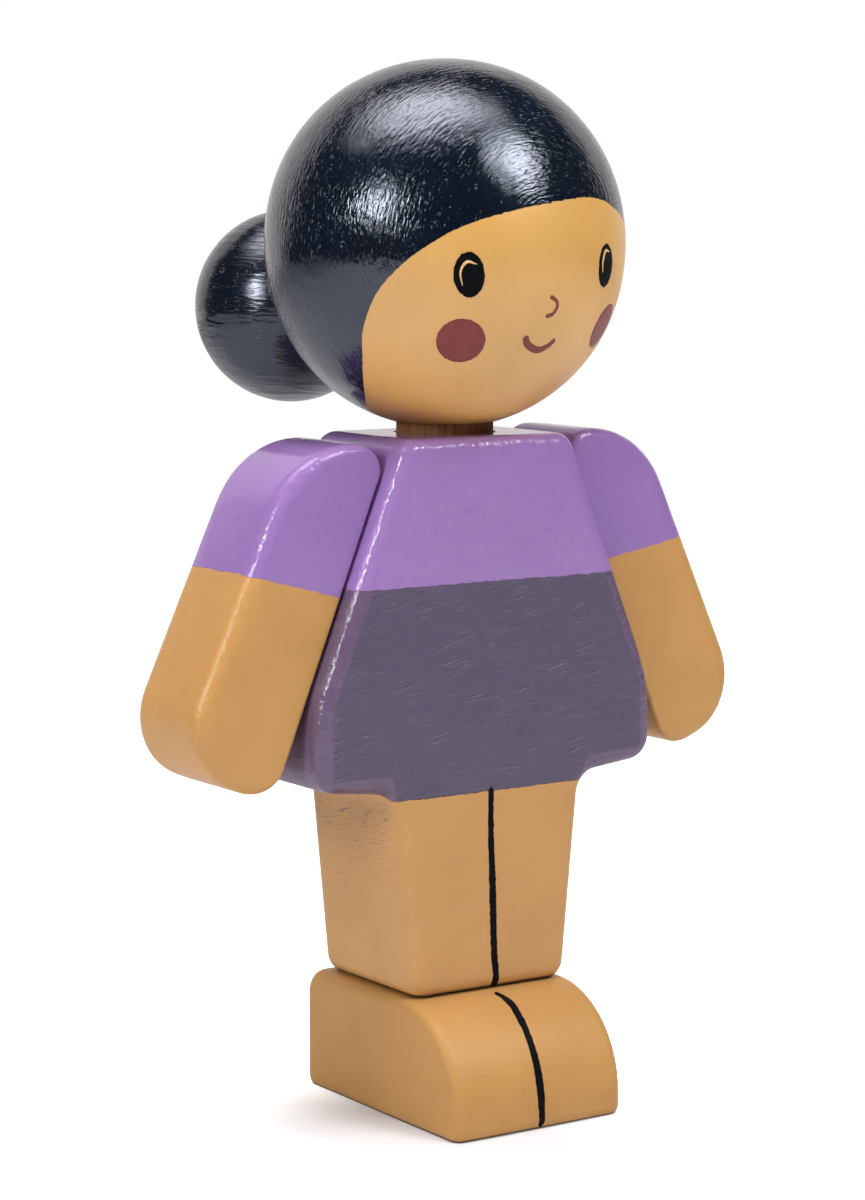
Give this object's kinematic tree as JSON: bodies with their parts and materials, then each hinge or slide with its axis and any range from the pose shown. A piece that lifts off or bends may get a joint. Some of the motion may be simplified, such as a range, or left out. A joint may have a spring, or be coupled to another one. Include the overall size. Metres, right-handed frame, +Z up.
{
  "type": "wooden doll",
  "caption": "Painted wooden doll: a ball head with a ball hair bun that turns on a dowel neck, a board body in shirt and skirt, block arms that swing, and a block for the feet.",
  "frame": {"origin": "on the ground under the neck axis, on the sole of the foot block", "axes": "+Z up along the neck, -Y out of the face, +X to the doll's left"},
  "size_m": [0.0796, 0.0678, 0.129],
  "materials": {
    "skin_paint": "satin tan paint over sanded wood",
    "dress_paint": "satin paint over sanded wood: lilac shirt, grey plum skirt, tan legs",
    "sleeve_paint": "satin paint over sanded wood: lilac sleeve above a tan arm",
    "head_paint": "glossy blue-black hair paint over wood, with a satin tan face and a printed face",
    "hair_paint": "glossy blue-black paint, wood grain showing through",
    "bare_wood": "bare turned hardwood"
  },
  "bodies": {
    "torso": {"body_board": "dress_paint", "foot_block": "skin_paint", "neck_dowel": "bare_wood", "left_shoulder_dowel": "bare_wood", "right_shoulder_dowel": "bare_wood", "left_ankle_dowel": "bare_wood", "right_ankle_dowel": "bare_wood"},
    "head": {"head_ball": "head_paint", "hair_bun": "hair_paint", "bun_dowel": "bare_wood"},
    "arm_on_left": {"left_arm": "sleeve_paint"},
    "arm_on_right": {"right_arm": "sleeve_paint"}
  },
  "joints": [
    {"name": "head_turn", "type": "hinge", "parent": "torso", "child": "head", "pos_m": [0, 0, 0.0831], "axis": [0, 0, 1], "continuous": true},
    {"name": "left_arm_swing", "type": "hinge", "parent": "torso", "child": "arm_on_left", "pos_m": [0.01679, 0, 0.07195], "axis": [-0.929, 0, -0.3701], "range_deg": [-110, 110]},
    {"name": "right_arm_swing", "type": "hinge", "parent": "torso", "child": "arm_on_right", "pos_m": [-0.01679, 0, 0.07195], "axis": [-0.929, 0, 0.3701], "range_deg": [-110, 110]}
  ]
}
